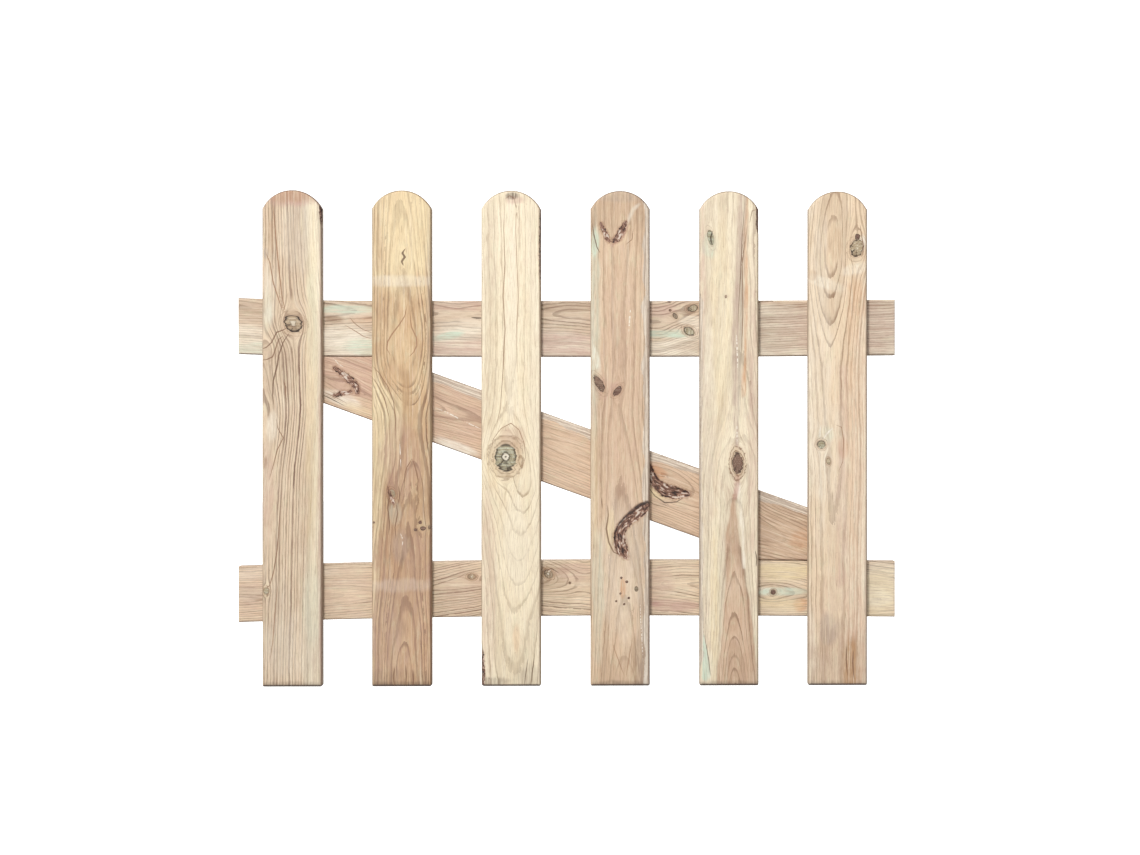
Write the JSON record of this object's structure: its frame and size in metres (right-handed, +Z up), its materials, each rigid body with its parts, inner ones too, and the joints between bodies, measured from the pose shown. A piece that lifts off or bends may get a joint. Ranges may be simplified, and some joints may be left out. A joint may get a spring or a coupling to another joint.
{
  "type": "garden gate",
  "caption": "Low timber picket gate leaf: round-topped pickets screwed to two horizontal rails and a diagonal brace that falls towards the hinge side.",
  "frame": {"origin": "the lower hinge face: on the back face of the lower rail, at mid height, 30 mm in from the rail's hinge end", "axes": "+X across the leaf to the right as seen from the front, from the latch side to the hinge side; the front with the pickets faces -Y; +Z up"},
  "size_m": [1, 0.0483, 0.75],
  "materials": {
    "picket_timber": "smooth planed softwood, pressure treated, unpainted",
    "rail_timber": "smooth planed softwood, pressure treated, unpainted",
    "brace_timber": "planed softwood, pressure treated, unpainted, with a waney edge",
    "screw_steel": "passivated zinc plate"
  },
  "bodies": {
    "root": {"upper_rail": "rail_timber", "lower_rail": "rail_timber", "diagonal_brace": "brace_timber", "picket_1": "picket_timber", "picket_2": "picket_timber", "picket_3": "picket_timber", "picket_4": "picket_timber", "picket_5": "picket_timber", "picket_6": "picket_timber", "upper_rail_screw_1a": "screw_steel", "upper_rail_screw_1b": "screw_steel", "brace_screw_1a": "screw_steel", "lower_rail_screw_1a": "screw_steel", "lower_rail_screw_1b": "screw_steel", "upper_rail_screw_2a": "screw_steel", "upper_rail_screw_2b": "screw_steel", "brace_screw_2a": "screw_steel", "brace_screw_2b": "screw_steel", "lower_rail_screw_2a": "screw_steel", "lower_rail_screw_2b": "screw_steel", "upper_rail_screw_3a": "screw_steel", "upper_rail_screw_3b": "screw_steel", "brace_screw_3a": "screw_steel", "brace_screw_3b": "screw_steel", "lower_rail_screw_3a": "screw_steel", "lower_rail_screw_3b": "screw_steel", "upper_rail_screw_4a": "screw_steel", "upper_rail_screw_4b": "screw_steel", "brace_screw_4a": "screw_steel", "brace_screw_4b": "screw_steel", "lower_rail_screw_4a": "screw_steel", "lower_rail_screw_4b": "screw_steel", "upper_rail_screw_5a": "screw_steel", "upper_rail_screw_5b": "screw_steel", "brace_screw_5a": "screw_steel", "brace_screw_5b": "screw_steel", "lower_rail_screw_5a": "screw_steel", "lower_rail_screw_5b": "screw_steel", "upper_rail_screw_6a": "screw_steel", "upper_rail_screw_6b": "screw_steel", "brace_screw_6a": "screw_steel", "lower_rail_screw_6a": "screw_steel", "lower_rail_screw_6b": "screw_steel"}
  },
  "joints": []
}
